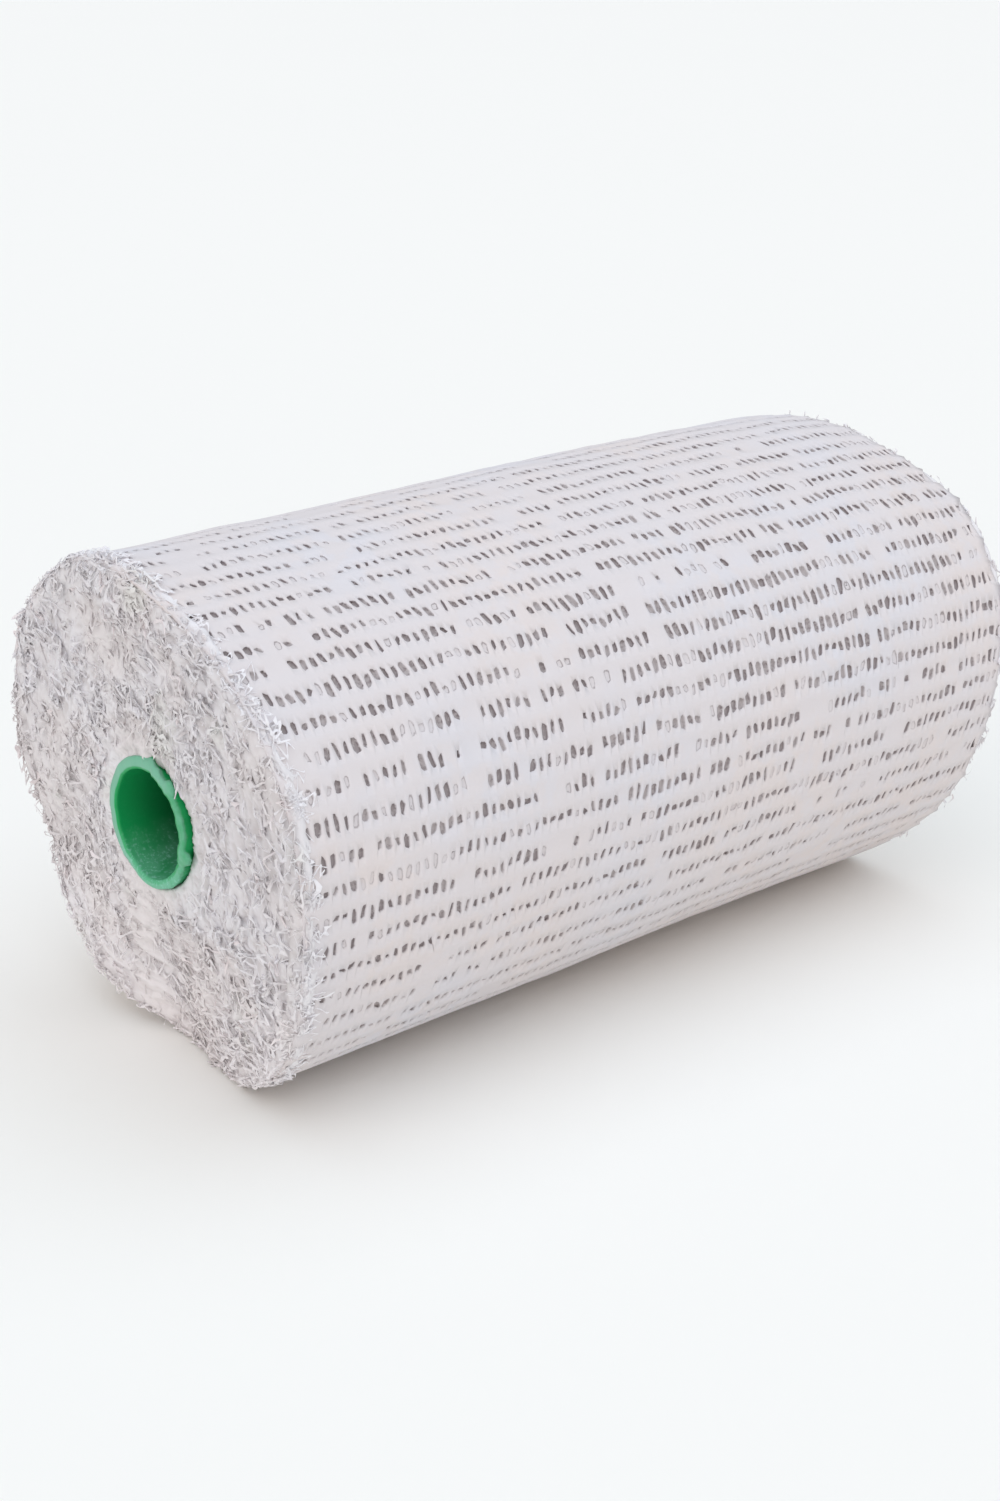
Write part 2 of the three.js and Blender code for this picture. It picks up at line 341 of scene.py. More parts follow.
def ringMesh(name, rings, angles):  # rings of x and radius, closed both ways
    x, radius = (np.hstack(part) for part in zip(*rings))
    points = aroundAxis(x, radius, angles[:, None] + 0 * x).reshape(-1, 3)
    return faceOut(meshOf(name, points, gridFaces(*x.shape, True, True)))


# The wound form, as the solid parts have it but for up to 3 mm or so at the near rim. Angles go round
# the roll: 0 faces back, 90 up, 180 front and 270 the ground.

roll = {"clothWidth": 100, "radius": 28.25, "layer": 0.52, "flatWidth": 11, "endAngle": 24,
           "balance": 0.75, "nearMat": 1.5, "gap": 0.3, "endDish": 1.8, "boreRadius": 7.05, "rimRound": 2.2,
           "cutBack": 1.15, "cutBackOnTop": 0.5, "tubeRadius": 6.75, "tubeWall": 0.95, "scallop": 0.6}
farRounding = {"deep": 1.4, "from": 0.75, "to": 1.12, "middle": 95, "width": 45}  # from and to by half widths
# angle, how far the near and far rims stand out, how much the near end swells
wanderTable = np.array([
    (0, -0.8, -1.4, 0), (15, -0.1, -1.6, 0), (30, 0.4, -1.8, -0.1), (60, 1.2, -2.0, -0.7),
    (90, 2.5, -1.8, -1.0), (115, 2.8, -0.5, -0.9), (135, 2.3, 2.6, -0.3), (155, 1.8, 2.5, 0),
    (175, 1.6, 0.8, 0), (195, 1.5, -0.7, 0.2), (220, -0.1, -1.8, 0.5), (245, -3.0, -2.1, 0.3),
    (262, -4.5, -2.0, 0.1), (278, -5.7, -1.8, -0.2), (299, -2.4, -1.4, -0.7), (322, -1.8, -1.3, -0.5),
    (338, -2.6, -1.3, -0.4)])
axisHeight = math.sqrt(roll["radius"] ** 2 - (roll["flatWidth"] / 2) ** 2)
nearEdge = -roll["clothWidth"] / 2 - roll["balance"]
farEdge = roll["clothWidth"] / 2 - roll["balance"]


def throughTable(table, angle):  # a smooth closed curve through its rows
    rows = np.vstack([np.column_stack([table[:, 0] + turn, table[:, 1:]]) for turn in (-360, 0, 360)])
    angle = np.mod(angle, 360)
    i = np.searchsorted(rows[:, 0], angle, side="right") - 1
    before, start, stop, after = (rows[i + step] for step in (-1, 0, 1, 2))
    span = (stop[..., :1] - start[..., :1])
    part = (angle[..., None] - start[..., :1]) / span
    back = 0.5 * span / (start[..., :1] - before[..., :1])
    ahead = 0.5 * span / (after[..., :1] - stop[..., :1])
    square, cube = part ** 2, part ** 3
    return ((-back * cube + 2 * back * square - back * part) * before[..., 1:]
            + ((1 + back) * cube - (1.5 + 2 * back) * square + (back - 0.5) * part + 1) * start[..., 1:]
            + (-(1 + ahead) * cube + (1.5 + ahead) * square + 0.5 * part) * stop[..., 1:]
            + (ahead * cube - ahead * square) * after[..., 1:])


def aboveGround(angle, radius, height=0.0):
    down = -np.sin(np.radians(angle))
    return np.where(down > 0.1, np.minimum(radius, (axisHeight - height) / np.maximum(down, 0.1)), radius)


def turnRadius(angle, x):
    wound = np.mod((angle - roll["endAngle"]) / 360, 1)
    half, low = roll["clothWidth"] / 2, farRounding
    swell = throughTable(wanderTable, angle)[..., 2] * ease(-x, -0.4 * half, half)
    swell -= (low["deep"] * ease(x, low["from"] * half, low["to"] * half)
              * bell(np.mod(angle, 360), low["middle"], low["width"]))
    return aboveGround(angle, roll["radius"] + roll["layer"] * (0.5 - wound) + swell)


def nearEnd(angle):  # x at the rim and the bore, and the radius
    rim = nearEdge - throughTable(wanderTable, angle)[..., 0] + roll["nearMat"] + roll["gap"]
    return rim, nearEdge + roll["endDish"], turnRadius(angle, rim)


def farEnd(angle):
    rim = farEdge + throughTable(wanderTable, angle)[..., 1] - roll["gap"]
    return rim, farEdge - roll["endDish"], turnRadius(angle, rim)


def clothEdge(angle):  # where the outer turn is cut, at the near end
    onTop = bell(np.mod(angle, 360), 100, 18)
    return nearEnd(angle)[0] - roll["cutBack"] - roll["cutBackOnTop"] * onTop


def faceX(end, radius):
    rim, bore, outer = end
    share = (radius - roll["boreRadius"]) / (outer - roll["rimRound"] - roll["boreRadius"])
    return bore + (rim - bore) * np.clip(share, 0, 1)


# Finishes. Noise scales are in waves a metre.

def shaderInks(colours):  # screen colours 0-255 to shader colours
    def linear(value):
        return value / 12.92 if value <= 0.04045 else ((value + 0.055) / 1.055) ** 2.4
    return {name: (*(linear(part / 255) for part in ink), 1) for name, ink in colours.items()}


def startMaterial(name, roughness, **fixed):
    material = bpy.data.materials.new(name)
    material.use_nodes = True
    shader = material.node_tree.nodes["Principled BSDF"]
    for label, value in {"Roughness": roughness, **fixed}.items():
        shader.inputs[label].default_value = value
    nodes = NodeMaker(material.node_tree)
    return material, nodes, shader, nodes.add("ShaderNodeTexCoord", out="Object")


def bumped(nodes, shader, height, strength):
    bump = nodes.add("ShaderNodeBump", None,
                     {"Height": height, "Distance": 0.1 * mm, "Strength": strength}, "Normal")
    nodes.feed(shader.inputs["Normal"], bump)


# The hole inks are painted shade for the slits; the last one is that shade lifted by painted bounce light
# near the floor.
gauzeInk = shaderInks({"plaster": (222, 216, 217), "cool": (220, 217, 221), "warm": (224, 215, 213),
                       "holeShadeDark": (126, 114, 115), "holeShadePale": (186, 178, 178), "holeFloorBounce": (200, 188, 184)})
gauzeNoise = {"cloud": 38, "faint": 300, "lumps": 700, "grain": 2600}


def gauzeMaterial():
    material, nodes, shader, place = startMaterial("plasteredGauze", 0.92)
    ink, scale = gauzeInk, gauzeNoise
    cloth = nodes.add("ShaderNodeUVMap", {"uv_map": "cloth"})
    pit, tone, film = (nodes.painted(name) for name in ("pit", "cellTone", "film"))
    cloud, faint = nodes.noise(place, scale["cloud"], 3), nodes.noise(place, scale["faint"], 3, 0.6)
    white = nodes.mixed(nodes.ramped(cloud, 0.35, 0.65), ink["cool"], ink["warm"])
    white = nodes.mixed(nodes.ramped(faint, 0.42, 0.6), white, ink["plaster"])
    grain = nodes.noise(place, scale["grain"], 2, 0.6)
    mottled = nodes.ramped(grain + (tone - 0.5) * 0.35, 0.4, 0.62)
    tall = nodes.split(place, "Z")
    low = 1 - nodes.ramped(tall, 5 * mm, 22 * mm)
    # painted shade in the slits: darker walls, a paler floor, mottled at random, fading in from the rim
    holeShade = nodes.mixed(mottled, ink["holeShadeDark"], ink["holeShadePale"])
    holeShade = nodes.mixed(nodes.ramped(pit, 0.6, 0.98) * 0.5, holeShade, ink["holeShadePale"])
    # painted bounce light: the hole shade turns paler and warmer near the floor
    holeShade = nodes.mixed(low * 0.55, holeShade, ink["holeFloorBounce"])
    crisp, soft = nodes.ramped(pit, 0.02, 0.5), nodes.ramped(pit, 0.02, 0.85)  # the painted shade fades in more softly below
    sunk = soft + (crisp - soft) * nodes.ramped(tall, 26 * mm, 46 * mm)
    sunk = sunk * (1 - film * (0.25 + 0.6 * nodes.ramped(pit, 0.5, 0.95)))
    nodes.feed(shader.inputs["Base Color"], nodes.mixed(sunk, white, holeShade))
    yarn = (nodes.split(cloth) * (2 * math.pi)).sine()
    lump = nodes.noise(place, scale["lumps"], 3, 0.55)
    bumped(nodes, shader, lump * 0.6 + grain * 0.35 + yarn * 0.03, 0.6)
    return material


# root is painted shade, for the threads' roots and the felt's hollows; low is painted fill light near the
# floor.
threadInk = shaderInks({"tip": (226, 221, 221), "root": (208, 203, 203), "cool": (228, 226, 229),
                        "low": (246, 240, 240), "pink": (233, 222, 222), "green": (225, 226, 220),
                        "onCloth": (241, 239, 242)})
threadNoise = {"cool": 90, "green": 130, "lumps": 1500}


def threadMaterial():
    material, nodes, shader, place = startMaterial("plasteredThreads", 0.95, **{
        "Subsurface Weight": 0.1, "Subsurface Radius": (1.0, 0.95, 0.92), "Subsurface Scale": 0.6 * mm,
        "Specular IOR Level": 0.2})
    ink, scale = threadInk, threadNoise
    along, tone, onCloth = (nodes.painted(name) for name in ("along", "threadTone", "onCloth"))
    cool, green = nodes.noise(place, scale["cool"], 2), nodes.noise(place, scale["green"], 1)
    tips = nodes.mixed(nodes.ramped(cool, 0.4, 0.6), ink["tip"], ink["cool"])
    tips = nodes.mixed(nodes.ramped(tone, 0.93, 0.97) * 0.6, tips, ink["pink"])
    tips = nodes.mixed(nodes.ramped(green, 0.63, 0.7) * 0.5, tips, ink["green"])
    # painted shade: darker at the thread roots and in the felt's hollows and crevices, lighter at tips and on
    # ridges
    shade = nodes.ramped(along + tone * 0.45, 0.0, 0.9)
    # painted light: threads near the floor are lightened towards the low ink, against the shade there
    low = 1 - nodes.ramped(nodes.split(place, "Z"), 3 * mm, 24 * mm)
    body = nodes.mixed(low * 0.5, nodes.mixed(shade, ink["root"], tips), ink["low"])
    body = nodes.mixed(onCloth * (0.6 + 0.4 * shade), body, ink["onCloth"])
    nodes.feed(shader.inputs["Base Color"], body)
    bumped(nodes, shader, nodes.noise(place, scale["lumps"], 3, 0.6), 0.25)
    return material


# deep is painted shade, for the far inside of the bore.
tubeInk = shaderInks({"green": (18, 158, 86), "deep": (3, 60, 32), "cutRim": (118, 184, 154),
                      "dust": (150, 216, 196)})
tubeNoise = {"film": 300, "lumps": 420, "rim": 900, "specks": 2400}


def tubeMaterial():
    material, nodes, shader, place = startMaterial("greenPlastic", 0.42, **{"Specular IOR Level": 0.3})
    ink, scale = tubeInk, tubeNoise
    split = nodes.split(place)
    # painted shade: the green turns to the deep ink farther into the bore
    inside = nodes.ramped(split, (nearEdge - 1) * mm, (nearEdge + 12) * mm)
    rim = nodes.painted("cutRim") + 0.3 * nodes.noise(place, scale["rim"], 2)
    body = nodes.mixed(inside, ink["green"], ink["deep"])
    body = nodes.mixed(nodes.ramped(rim, 0.55, 0.95), body, ink["cutRim"])
    low = 1 - nodes.ramped(split.out("Z"), (axisHeight - 5.6) * mm, (axisHeight - 1.8) * mm)
    specks = nodes.ramped(nodes.noise(place, scale["specks"], 3, 0.7), 0.53, 0.64)
    film = nodes.ramped(nodes.noise(place, scale["film"], 3, 0.6), 0.36, 0.6)
    dust = (0.03 + 0.75 * low) * (0.4 + 0.6 * film) * (0.4 + 0.6 * specks)
    nodes.feed(shader.inputs["Base Color"], nodes.mixed(dust, body, ink["dust"]))
    nodes.feed(shader.inputs["Roughness"], 0.38 + 0.5 * dust)
    bumped(nodes, shader, nodes.noise(place, scale["lumps"], 3) + dust, 0.5)
    return material


gauze, threads, plastic = gauzeMaterial(), threadMaterial(), tubeMaterial()
print("finishes made")


# The bandage's outer turn: a sheet of gauze cells wound round the roll. Each cell holds one slit
# between two warp threads, open, filled with a film of plaster, or lost under it.

gauzeCells = {"columns": 94, "rows": 60, "along": 1.08, "round": 2.96, "slitWidth": 0.29, "slitLength": 0.2,
              "depth": 0.34, "rib": 0.13, "bar": 0.02, "floor": (0.84, 0.9), "seed": 4, "blankBelow": 0.345,
              "filmAbove": 0.6, "loneBlanks": 0.03, "ragged": (0.5 * mm, 0.9 * mm, 0.0), "raggedNoise": 3300}
# angle, and how far the rows are off an even spacing there
rowDrift = np.array([
    (0, 0.0), (24, 0.0), (60, 0.8), (90, 1.9), (107, 1.7), (123, -0.2), (137, -1.1), (150, -0.7), (172, 0.4),
    (190, 0.0), (201, 0.4), (216, 2.6), (232, 2.4), (262, 0.6), (300, -0.4), (335, 0.0)])


def hiddenCollection(name):
    made = bpy.data.collections.new(name)
    scene.collection.children.link(made)
    return made


def clearCollection(collection):
    for item in list(collection.objects):
        bpy.data.objects.remove(item)
    bpy.data.collections.remove(collection)


def cellShapes():  # cell units across, mm deep
    shapes = hiddenCollection("cellShapes")
    size = gauzeCells
    edge = np.array([(-0.5, -0.5), (0.5, -0.5), (0.5, -0.3), (0.5, 0.3), (0.5, 0.5), (-0.5, 0.5), (-0.5, 0.3),
                     (-0.5, -0.3)])
    onRib = np.array([1, 1, 0, 0, 1, 1, 0, 0])
    rise = onRib * size["rib"] + (1 - onRib) * size["bar"]
    slit = np.array([(-0.5, -1), (0.5, -1), (1, -0.6), (1, 0.6), (0.5, 1), (-0.5, 1), (-1, 0.6), (-1, -0.6)])
    slit = slit * [size["slitWidth"], size["slitLength"]]
    caps = [(0, 1, 2, 7), (7, 2, 3, 6), (6, 3, 4, 5)]

    def addShape(name, rings, faces, share, pit):
        points = np.vstack([np.column_stack([flat, height + np.zeros(8)]) for flat, height in rings])
        mesh = bpy.data.meshes.new(name)
        mesh.from_pydata((points * [1, 1, mm]).tolist(), [], faces)
        giveNumbers(mesh, "slitShare", share)
        giveNumbers(mesh, "pit", pit)
        shapes.objects.link(bpy.data.objects.new(name, mesh))

    sides = [(i, (i + 1) % 8, 8 + (i + 1) % 8, 8 + i) for i in range(8)]
    walls = [tuple(8 + k for k in side) for side in sides]
    addShape("cell0blank", [(edge, rise)], caps, [0] * 8, [0] * 8)
    addShape("cell1open", [(edge, rise), (slit, 0), (slit * size["floor"], -size["depth"])],
             sides + walls + [tuple(16 + k for k in cap) for cap in caps],
             [0] * 8 + [1] * 16, [0] * 16 + [1] * 8)
    return shapes


def gauzeTree(shapes):
    size = gauzeCells
    tree = ShapeTree("gauzeCells", {
        "Columns": size["columns"], "Rows": size["rows"], "Along": size["along"] * mm,
        "Round": size["round"] * mm, "Blank Below": size["blankBelow"], "Film Above": size["filmAbove"],
        "Seed": size["seed"], "Cells": shapes, "Finish": gauze})
    nodes, read = tree.nodes, tree.read
    columns, rows, along, around, seed = (read(n) for n in ("Columns", "Rows", "Along", "Round", "Seed"))
    grid = nodes.add("GeometryNodeMeshGrid", None, {0: (columns - 1) * along, 1: (rows - 1) * around,
                                                    2: columns, 3: rows})
    grid = nodes.moved(grid, nodes.combined(columns * along * 0.5, rows * around * 0.5))
    place = nodes.add("GeometryNodeInputPosition")
    flat = nodes.split(place)
    column, row = flat / along, flat.out("Y") / around

    def overCells(columnStep, rowStep, shift, detail=1.0):  # noise over the cells
        return nodes.noise(nodes.combined(column * columnStep, row * rowStep, seed + shift), 1.0, detail)

    runs = overCells(0.27, 5.3, 0.5) + (overCells(0.05, 0.28, 7.5) - 0.5) * 0.15
    keep = runs.over(read("Blank Below")) * nodes.random(0, 1, seed).over(size["loneBlanks"])
    film = (overCells(0.45, 3.1, 3.5, 2.0) + nodes.random(-0.12, 0.12, seed + 1)).over(read("Film Above"))
    longer = nodes.ramped(overCells(0.3, 2.3, 9.5), 0.3, 0.7)
    middleRows = nodes.ramped(row, 11.0, 19.0) * (1 - nodes.ramped(row, 25.0, 33.0))
    # wider holes towards the far end and in front, and short ones low down
    wider = 0.98 + 0.2 * nodes.ramped(column, 24.0, 62.0) + 0.14 * nodes.ramped(row, 12.0, 18.0)
    shorter = 1 - 0.28 * nodes.ramped(row, 26.0, 31.0)
    long = (0.52 + 0.42 * longer + 0.28 * middleRows + nodes.random(-0.3, 0.3, seed + 5)) * shorter
    copies = nodes.copied(grid, read("Cells"), keep, nodes.combined(along, around, 1.0))
    sheet = nodes.realized(nodes.stored(copies, {
        "cellPlace": place, "film": film, "cellDepth": 1 - film * nodes.random(0.5, 0.75, seed + 2),
        "cellTone": nodes.random(0, 1, seed + 3), "cellWide": nodes.random(0.62, 1.14, seed + 4) * wider,
        "cellLong": long, "cellLean": nodes.random(-0.3, 0.24, seed + 6),
        "cellShift": nodes.random(-0.08, 0.08, seed + 7)}))
    drawnIn = 1 - 0.35 * nodes.named("film") * nodes.named("pit")
    local = nodes.split(nodes.vector("SUBTRACT", place, nodes.named("cellPlace", "FLOAT_VECTOR")))
    longWay = local.out("Y") * (nodes.named("cellLong") * drawnIn - 1) + nodes.named("cellShift") * around
    wideWay = local * (nodes.named("cellWide") * drawnIn - 1) + local.out("Y") * nodes.named("cellLean")
    deepWay = local.out("Z") * (nodes.named("cellDepth") - 1)
    ragged = nodes.vector("MULTIPLY", nodes.shake(place, size["raggedNoise"]), size["ragged"])
    moved = nodes.vector("ADD", nodes.combined(wideWay, longWay, deepWay), ragged)
    sheet = nodes.moved(sheet, nodes.scaled(moved, nodes.named("slitShare")))
    tree.finish(nodes.add("GeometryNodeMergeByDistance", None, {"Geometry": sheet, "Distance": 0.001 * mm}))
    return tree


def makeRoll():
    size, shapes = gauzeCells, cellShapes()
    base = newObject("gauzeBase", bpy.data.meshes.new("gauzeBase"), True)
    sheet = gauzeTree(shapes).grow(base, "bandage_cloth")
    bpy.data.objects.remove(base)
    clearCollection(shapes)
    flat = pointsOf(sheet)
    share = flat[:, :2] / [size["columns"] * size["along"], size["rows"] * size["round"]]
    closeEnds(sheet, share, windCloth(sheet, flat, share))
    return sheet


def windCloth(sheet, flat, share):  # flat sheet to the roll's outer turn
    u, angle = share[:, 0], roll["endAngle"] + 360 * share[:, 1]
    inside = ease(share[:, 1], 0, 0.05) * ease(1 - share[:, 1], 0, 0.05)
    turned = np.mod(angle, 360)
    lean = 2.8 * (u - 0.5) * ease(turned, 40, 80) * (1 - ease(turned, 158, 186))
    wavy = noiseOf(3, flat[:, 0] / 11, turned / 9) * 0.5 + noiseOf(5, flat[:, 0] / 3.5, turned / 5) * 0.22
    angle = angle + inside * (throughTable(rowDrift, turned)[:, 0] + lean + wavy)
    near, far = clothEdge(angle), farEnd(angle)[0]
    scallop = 0.7 * roll["scallop"] * np.cos(2 * np.pi * share[:, 1] * gauzeCells["rows"])
    far = far + scallop * ease(u, 0.975, 1) + 0.5 * noiseOf(8, 0, turned / 4) * ease(u, 0.97, 1)
    x = near + (far - near) * u
    uneven = 0.12 * noiseOf(11, x / 9, turned / 14) + 0.04 * noiseOf(12, x / 2, turned / 4)
    height = flat[:, 2] + uneven * ease(u, 0, 0.03) * ease(1 - u, 0, 0.03)
    radius = turnRadius(np.clip(angle, roll["endAngle"], roll["endAngle"] + 359.9999), x)
    radius = np.minimum(radius + height, aboveGround(angle, 99.0) + np.minimum(flat[:, 2], 0))
    setPoints(sheet, aroundAxis(x, radius, angle))
    return angle


def closeEnds(sheet, share, angle):  # the cut edge, both end faces and the bore
    def border(way, side):  # the points on or past one side of the sheet
        found = np.flatnonzero((share[:, way] - 1 if side else -share[:, way]) > -1e-5)
        return found[np.argsort(share[found, 1 - way])]

    onNear, onFar, first, last = border(0, 0), border(0, 1), border(1, 0), border(1, 1)
    turns, inner = angle[onNear], roll["boreRadius"]
    rim, bore, outer = nearEnd(turns)
    farRim, farBore, farOuter = farEnd(turns)
    edge = clothEdge(turns)
    rings = [(edge + 0.03, outer - 0.3), (edge + 0.4, outer - 0.6), (rim, outer - roll["rimRound"]),
             (0.5 * (rim + bore), 0.5 * (outer + inner)), (bore, inner), (0, inner), (farBore, inner),
             (0.5 * (farRim + farBore), 0.5 * (farOuter + inner)), (farRim - 0.1, farOuter - 0.9)]
    work = bmesh.new()
    work.from_mesh(sheet)
    wound = list(work.verts)
    chain = [[wound[i] for i in onNear]]
    for x, radius in rings:
        ring = aroundAxis(x, aboveGround(turns, radius), turns)
        chain.append([work.verts.new(Vector(point) * mm) for point in ring])
    chain.append([wound[i] for i in onFar])
    for one, two in zip(chain, chain[1:]):
        for i in range(len(one) - 1):
            work.faces.new((one[i], one[i + 1], two[i + 1], two[i]))
    for i in range(len(first) - 1):
        work.faces.new([wound[k] for k in (first[i], first[i + 1], last[i + 1], last[i])])
    for one, two in zip(chain, chain[1:]):  # the step of one layer, seen on each end
        work.faces.new((one[-1], one[0], two[0], two[-1]))
    work.to_mesh(sheet)
    work.free()
    unwrap(faceOut(sheet))
    smoothed(sheet)


def unwrap(sheet):  # one UV unit a cell, along and round
    points, angle = polarOf(sheet)[::2]
    flat = np.column_stack([points[:, 0] / gauzeCells["along"],
                            np.mod(angle - roll["endAngle"], 360) * gauzeCells["rows"] / 360])
    corners = np.zeros(len(sheet.loops), np.int32)
    sheet.loops.foreach_get("vertex_index", corners)
    layer = sheet.uv_layers.new(name="cloth")
    layer.data.foreach_set("uv", flat[corners].ravel())


clothMesh = makeRoll()
bandage = newObject("bandage_cloth", clothMesh)
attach(bandage, "root")
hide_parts("bandage_roll")
print("gauze wound:", len(clothMesh.polygons), "faces")


# Threads: short, bent, plaster-coated ends that stand in the cut edges of the cloth

threadShape = {"shapes": 14, "sides": 3, "steps": 7, "thick": 0.17, "thinner": 0.6, "stouter": 1.3,
               "taper": 0.45, "uneven": 0.3, "root": 0.7, "tip": 0.45, "wave": 2.4, "curl": 0.3,
               "rise": 0.04, "twist": 0.5, "seed": 21}


def threadShapes():  # one unit long, root at the origin
    shapes = hiddenCollection("threadShapes")
    size, sides = threadShape, threadShape["sides"]
    chance = np.random.default_rng(size["seed"])
    along = np.linspace(0, 1, size["steps"] + 1)
    for number in range(size["shapes"]):
        bend = chance.uniform(-1, 1, (2, 3)) * [[size["curl"]], [size["rise"]]]
        swing = [sum(b * (np.sin((k + 1) * size["wave"] * along + phase) - np.sin(phase))
                     for k, b in enumerate(row)) for row, phase in zip(bend, chance.uniform(0, 6, 2))]
        thick = size["thick"] * chance.uniform(size["thinner"], size["stouter"]) * (1 - size["taper"] * along)
        thick = 0.5 * thick * (1 + size["uneven"] * chance.uniform(-1, 1, len(along)))
        thick[0] *= size["root"]
        thick[-1] *= size["tip"]
        points, faces = [], []
        for i, share in enumerate(along):
            for j in range(sides):
                turn = 2 * math.pi * j / sides + size["twist"] * i
                points.append((share, swing[0][i] + thick[i] * math.cos(turn),
                               swing[1][i] + thick[i] * math.sin(turn)))
        for i, j in itertools.product(range(size["steps"]), range(sides)):
            k = (j + 1) % sides
            faces.append((i * sides + j, i * sides + k, (i + 1) * sides + k, (i + 1) * sides + j))
        faces.append(tuple(range(sides))[::-1])
        faces.append(tuple(len(points) - sides + j for j in range(sides)))
        mesh = bpy.data.meshes.new("thread%02d" % number)
        mesh.from_pydata(points, [], faces)
        giveNumbers(mesh, "along", np.repeat(along, sides))
        shapes.objects.link(bpy.data.objects.new(mesh.name, faceOut(mesh)))
    return shapes


def threadTree(shapes):
    given = ("Density", "Shortest", "Longest", "Most Lift", "Wave Size", "Wave Height", "Stoutness", "Sink")
    tree = ShapeTree("frayedThreads", {
        **dict.fromkeys(given, 0.0), "Least Lift": -0.05, "Flow": 0.9, "Outward": 0.0, "Flatness": 0.5,
        "Keep Surface": False, "Seed": 0, "Shapes": shapes, "Finish": threads})
    nodes, read = tree.nodes, tree.read
    seed, surface = read("Seed"), read("Geometry")
    spread = nodes.add("GeometryNodeDistributePointsOnFaces", {"distribute_method": "RANDOM"},
                       {"Mesh": surface, "Density": read("Density") * nodes.named("density"), "Seed": seed})
    normal = spread.out("Normal")
    place = nodes.add("GeometryNodeInputPosition")
    flat = nodes.split(place)
    radial = nodes.vector("NORMALIZE", nodes.combined(0.0, flat.out("Y"), flat.out("Z") - axisHeight * mm))
    around = nodes.vector("CROSS_PRODUCT", (1, 0, 0), radial)
    across = nodes.vector("CROSS_PRODUCT", normal, around)
    atBack = nodes.ramped(flat.out("Y"), -14 * mm, 6 * mm)  # combed round the roll most of all there
    flow = read("Flow") * (0.4 + atBack)
    lying = nodes.vector("ADD", nodes.scaled(around, flow + nodes.random(-1, 1, seed + 1)),
                         nodes.scaled(across, nodes.random(-1, 1, seed + 2)))
    lift = nodes.between(read("Least Lift"), read("Most Lift"), seed + 3)
    heading = nodes.vector("ADD", nodes.vector("NORMALIZE", lying), nodes.scaled(normal, lift))
    heading = nodes.vector("ADD", heading, nodes.scaled(radial, read("Outward")))
    turned = nodes.add("FunctionNodeAlignRotationToVector", {"axis": "Z"}, {"Vector": normal})
    turned = nodes.add("FunctionNodeAlignRotationToVector", {"axis": "X"},
                       {"Rotation": turned, "Vector": heading})
    spin = nodes.add("FunctionNodeAxisAngleToRotation", None,
                     {"Axis": (1, 0, 0), "Angle": nodes.random(-0.5, 0.5, seed + 4)})
    turned = nodes.add("FunctionNodeRotateRotation", {"rotation_space": "LOCAL"},
                       {"Rotation": turned, "Rotate By": spin})
    length = nodes.between(read("Shortest"), read("Longest"), seed + 5)
    stout = length * 0.35 + read("Stoutness")
    sunk = nodes.moved(spread, nodes.scaled(normal, 0 - read("Sink")))
    pick = nodes.add("FunctionNodeRandomValue", {"data_type": "INT"}, {4: 0, 5: 200, 8: seed + 6}, 2)
    size = nodes.combined(length, stout, stout * read("Flatness"))
    copies = nodes.copied(sunk, read("Shapes"), pick, size, turned)
    strands = nodes.realized(nodes.stored(copies, {
        "threadTone": nodes.random(0, 1, seed + 7), "outOfMat": normal}))
    ripple = nodes.shake(place, 1 / read("Wave Size"))
    outOfMat = nodes.named("outOfMat", "FLOAT_VECTOR")  # most of the bend lies along the mat
    standing = nodes.vector("DOT_PRODUCT", ripple, outOfMat, "Value") * 0.75
    ripple = nodes.vector("SUBTRACT", ripple, nodes.scaled(outOfMat, standing))
    strands = nodes.moved(strands, nodes.scaled(ripple, read("Wave Height") * nodes.named("along")))
    kept = nodes.add("GeometryNodeSwitch", {"input_type": "GEOMETRY"},
                     {"Switch": read("Keep Surface"), "True": surface})
    joined = nodes.add("GeometryNodeJoinGeometry")
    for part in (kept, strands):
        nodes.tree.links.new(part.socket, joined.socket.node.inputs[0])
    tree.finish(nodes.realized(joined))
    return tree


shortThreads = threadShapes()
threadGrower = threadTree(shortThreads)


def matThinner(angle, radius):  # the near mat is worn thin at the back
    return 0.6 * bell(np.mod(angle + 145, 360), 180, 32) * ease(radius, 16, 24)


clearance = {"proud": 0.35, "ground": 0.12, "bore": 6.85, "corner": 1.0, "nearDeep": 1.6, "farDeep": 1.1,
             "wild": 0.985, "wildGive": 0.9, "nearGive": 0.28, "farGive": 0.1, "boreGive": 0.6}


